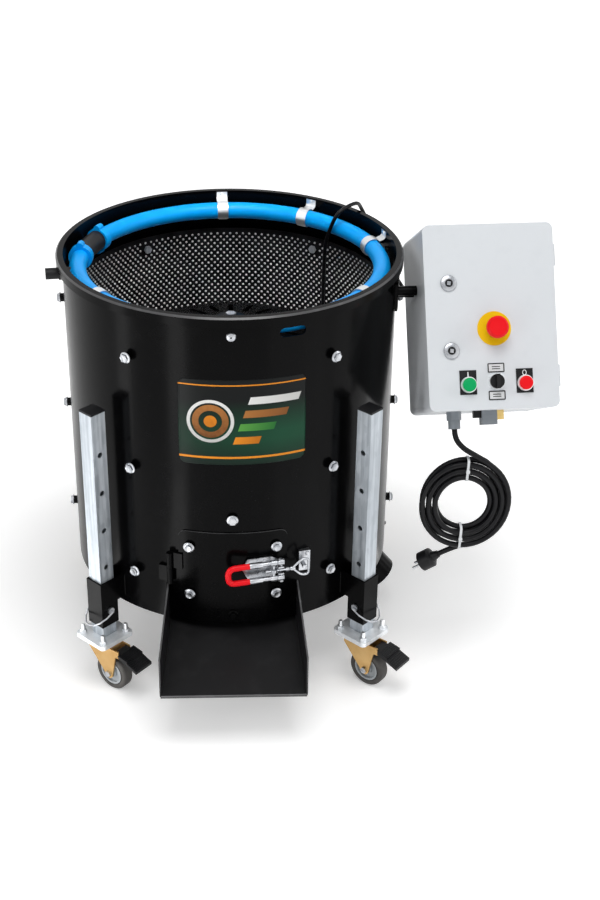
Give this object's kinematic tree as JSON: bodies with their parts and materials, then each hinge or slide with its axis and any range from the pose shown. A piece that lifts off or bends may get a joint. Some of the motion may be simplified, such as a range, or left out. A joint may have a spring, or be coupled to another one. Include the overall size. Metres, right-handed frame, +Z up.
{
  "type": "walnut huller",
  "caption": "Upright walnut huller: rasp-lined drum with spinning cone rotor, water ring, latched door over a chute, caster legs that slide for height, and a tilted control box.",
  "frame": {"origin": "on the floor under the drum axis", "axes": "+X to the right of a person facing the door, +Y to the back, +Z up; the control box is on +X and the chute on -Y"},
  "size_m": [0.9393, 0.774, 0.8765],
  "materials": {
    "black_coat": "gloss black powder coat",
    "rasp_steel": "bright rasp-punched steel, wet",
    "zinc": "bright zinc plate",
    "galvanised": "dull hot-dip galvanised",
    "gold_zinc": "yellow zinc plate",
    "blue_pipe": "blue pressure pipe",
    "dark_plastic": "black moulded plastic",
    "grey_plastic": "mid grey moulded plastic",
    "tyre": "dark grey rubber tyre on a grey-blue centre",
    "cord": "black cord sheath",
    "box_grey": "light grey fine-texture paint",
    "red_grip": "red dipped grip on zinc",
    "red_cap": "gloss red",
    "green_cap": "gloss green",
    "lid_trim": "yellow disc, pale label plates, dark bezels",
    "cast_drive": "black painted castings"
  },
  "bodies": {
    "drum": {"drum_shell": "black_coat", "rim_ring": "black_coat", "floor_plate": "black_coat", "rasp_screen": "rasp_steel", "screen_bolts": "zinc", "leg_sleeves": "black_coat", "water_ring": "blue_pipe", "ring_coupling": "blue_pipe", "pipe_clips": "galvanised", "water_inlet": "grey_plastic", "discharge_chute": "black_coat", "door_hinge": "black_coat", "latch_keeper": "zinc", "waste_outlet": "black_coat", "gearmotor": "cast_drive", "box_bracket": "black_coat", "box_body": "box_grey", "box_fittings": "grey_plastic", "box_gear": "zinc", "probe_lead": "cord", "mains_lead": "cord", "mains_coil": "cord", "mains_tail": "cord", "mains_plug": "dark_plastic"},
    "rotor": {"rotor": "black_coat", "rotor_shaft": "zinc"},
    "door": {"door_plate": "black_coat", "door_liner": "rasp_steel", "door_bolts": "zinc", "latch_base": "zinc"},
    "lever": {"latch_lever": "red_grip"},
    "hook": {"latch_hook": "zinc"},
    "lid": {"box_lid": "box_grey", "lid_plates": "lid_trim"},
    "lock_high": {"lid_lock_high": "zinc"},
    "lock_low": {"lid_lock_low": "zinc"},
    "mushroom": {"stop_mushroom": "red_cap"},
    "start": {"start_button": "green_cap"},
    "stop": {"stop_button": "red_cap"},
    "knob": {"selector_knob": "dark_plastic"},
    "leg_fl": {"leg_fl": "galvanised"},
    "fork_fl": {"fork_fl": "gold_zinc"},
    "wheel_fl": {"wheel_fl": "tyre"},
    "pedal_fl": {"pedal_fl": "dark_plastic"},
    "pin_fl": {"pin_fl": "zinc"},
    "leg_fr": {"leg_fr": "galvanised"},
    "fork_fr": {"fork_fr": "gold_zinc"},
    "wheel_fr": {"wheel_fr": "tyre"},
    "pedal_fr": {"pedal_fr": "dark_plastic"},
    "pin_fr": {"pin_fr": "zinc"},
    "leg_rr": {"leg_rr": "galvanised"},
    "fork_rr": {"fork_rr": "gold_zinc"},
    "wheel_rr": {"wheel_rr": "tyre"},
    "pedal_rr": {"pedal_rr": "dark_plastic"},
    "pin_rr": {"pin_rr": "zinc"},
    "leg_rl": {"leg_rl": "galvanised"},
    "fork_rl": {"fork_rl": "gold_zinc"},
    "wheel_rl": {"wheel_rl": "tyre"},
    "pedal_rl": {"pedal_rl": "dark_plastic"},
    "pin_rl": {"pin_rl": "zinc"}
  },
  "joints": [
    {"name": "rotor_spin", "type": "hinge", "parent": "drum", "child": "rotor", "pos_m": [0, 0, 0.3], "axis": [0, 0, 1], "continuous": true},
    {"name": "door_swing", "type": "hinge", "parent": "drum", "child": "door", "pos_m": [-0.11603, -0.29608, 0.2955], "axis": [0, 0, -1], "range_deg": [0, 66]},
    {"name": "lever_swing", "type": "hinge", "parent": "door", "child": "lever", "pos_m": [0.08832, -0.32034, 0.304], "axis": [0, 0, 1], "range_deg": [0, 100]},
    {"name": "hook_pivot", "type": "hinge", "parent": "lever", "child": "hook", "pos_m": [0.07468, -0.32349, 0.304], "axis": [0, 0, 1], "range_deg": [-100, 0]},
    {"name": "lid_swing", "type": "hinge", "parent": "drum", "child": "lid", "pos_m": [0.59251, -0.12328, 0.72285], "axis": [-0.0349, 0.4988, 0.866], "range_deg": [0, 110]},
    {"name": "lock_high_turn", "type": "hinge", "parent": "lid", "child": "lock_high", "pos_m": [0.39202, -0.12038, 0.78469], "axis": [0.0604, -0.8639, 0.5], "range_deg": [0, 90]},
    {"name": "lock_low_turn", "type": "hinge", "parent": "lid", "child": "lock_low", "pos_m": [0.39628, -0.18123, 0.67904], "axis": [0.0604, -0.8639, 0.5], "range_deg": [0, 90]},
    {"name": "mushroom_push", "type": "slide", "parent": "lid", "child": "mushroom", "axis": [-0.0604, 0.8639, -0.5], "range_m": [0, 0.004], "stiffness_N_per_m": 600, "springref_m": -0.002},
    {"name": "start_push", "type": "slide", "parent": "lid", "child": "start", "axis": [-0.0604, 0.8639, -0.5], "range_m": [0, 0.004], "stiffness_N_per_m": 600, "springref_m": -0.002},
    {"name": "stop_push", "type": "slide", "parent": "lid", "child": "stop", "axis": [-0.0604, 0.8639, -0.5], "range_m": [0, 0.004], "stiffness_N_per_m": 600, "springref_m": -0.002},
    {"name": "knob_turn", "type": "hinge", "parent": "lid", "child": "knob", "pos_m": [0.47811, -0.20458, 0.62881], "axis": [0.0604, -0.8639, 0.5], "range_deg": [-45, 45]},
    {"name": "leg_slide_fl", "type": "slide", "parent": "drum", "child": "leg_fl", "axis": [0, 0, -1], "range_m": [0, 0.25]},
    {"name": "bail_swing_fl", "type": "hinge", "parent": "drum", "child": "pin_fl", "pos_m": [-0.24749, -0.24749, 0.177], "axis": [-0.7071, 0.7071, 0], "range_deg": [0, 60]},
    {"name": "swivel_fl", "type": "hinge", "parent": "leg_fl", "child": "fork_fl", "pos_m": [-0.24749, -0.24749, 0.102], "axis": [0, 0, 1], "continuous": true},
    {"name": "roll_fl", "type": "hinge", "parent": "fork_fl", "child": "wheel_fl", "pos_m": [-0.23063, -0.26163, 0.0375], "axis": [0.6428, 0.766, 0], "continuous": true},
    {"name": "brake_fl", "type": "hinge", "parent": "fork_fl", "child": "pedal_fl", "pos_m": [-0.21378, -0.27577, 0.091], "axis": [0.6428, 0.766, 0], "range_deg": [0, 12]},
    {"name": "leg_slide_fr", "type": "slide", "parent": "drum", "child": "leg_fr", "axis": [0, 0, -1], "range_m": [0, 0.25]},
    {"name": "bail_swing_fr", "type": "hinge", "parent": "drum", "child": "pin_fr", "pos_m": [0.24749, -0.24749, 0.177], "axis": [-0.7071, -0.7071, 0], "range_deg": [0, 60]},
    {"name": "swivel_fr", "type": "hinge", "parent": "leg_fr", "child": "fork_fr", "pos_m": [0.24749, -0.24749, 0.102], "axis": [0, 0, 1], "continuous": true},
    {"name": "roll_fr", "type": "hinge", "parent": "fork_fr", "child": "wheel_fr", "pos_m": [0.26434, -0.26163, 0.0375], "axis": [0.6428, 0.766, 0], "continuous": true},
    {"name": "brake_fr", "type": "hinge", "parent": "fork_fr", "child": "pedal_fr", "pos_m": [0.28119, -0.27577, 0.091], "axis": [0.6428, 0.766, 0], "range_deg": [0, 12]},
    {"name": "leg_slide_rr", "type": "slide", "parent": "drum", "child": "leg_rr", "axis": [0, 0, -1], "range_m": [0, 0.25]},
    {"name": "bail_swing_rr", "type": "hinge", "parent": "drum", "child": "pin_rr", "pos_m": [0.24749, 0.24749, 0.177], "axis": [0.7071, -0.7071, 0], "range_deg": [0, 60]},
    {"name": "swivel_rr", "type": "hinge", "parent": "leg_rr", "child": "fork_rr", "pos_m": [0.24749, 0.24749, 0.102], "axis": [0, 0, 1], "continuous": true},
    {"name": "roll_rr", "type": "hinge", "parent": "fork_rr", "child": "wheel_rr", "pos_m": [0.26434, 0.23335, 0.0375], "axis": [0.6428, 0.766, 0], "continuous": true},
    {"name": "brake_rr", "type": "hinge", "parent": "fork_rr", "child": "pedal_rr", "pos_m": [0.28119, 0.2192, 0.091], "axis": [0.6428, 0.766, 0], "range_deg": [0, 12]},
    {"name": "leg_slide_rl", "type": "slide", "parent": "drum", "child": "leg_rl", "axis": [0, 0, -1], "range_m": [0, 0.25]},
    {"name": "bail_swing_rl", "type": "hinge", "parent": "drum", "child": "pin_rl", "pos_m": [-0.24749, 0.24749, 0.177], "axis": [0.7071, 0.7071, 0], "range_deg": [0, 60]},
    {"name": "swivel_rl", "type": "hinge", "parent": "leg_rl", "child": "fork_rl", "pos_m": [-0.24749, 0.24749, 0.102], "axis": [0, 0, 1], "continuous": true},
    {"name": "roll_rl", "type": "hinge", "parent": "fork_rl", "child": "wheel_rl", "pos_m": [-0.23063, 0.23335, 0.0375], "axis": [0.6428, 0.766, 0], "continuous": true},
    {"name": "brake_rl", "type": "hinge", "parent": "fork_rl", "child": "pedal_rl", "pos_m": [-0.21378, 0.2192, 0.091], "axis": [0.6428, 0.766, 0], "range_deg": [0, 12]}
  ],
  "couplings": [
    {"joint": "hook_pivot", "follows": "lever_swing", "ratio": -1}
  ]
}
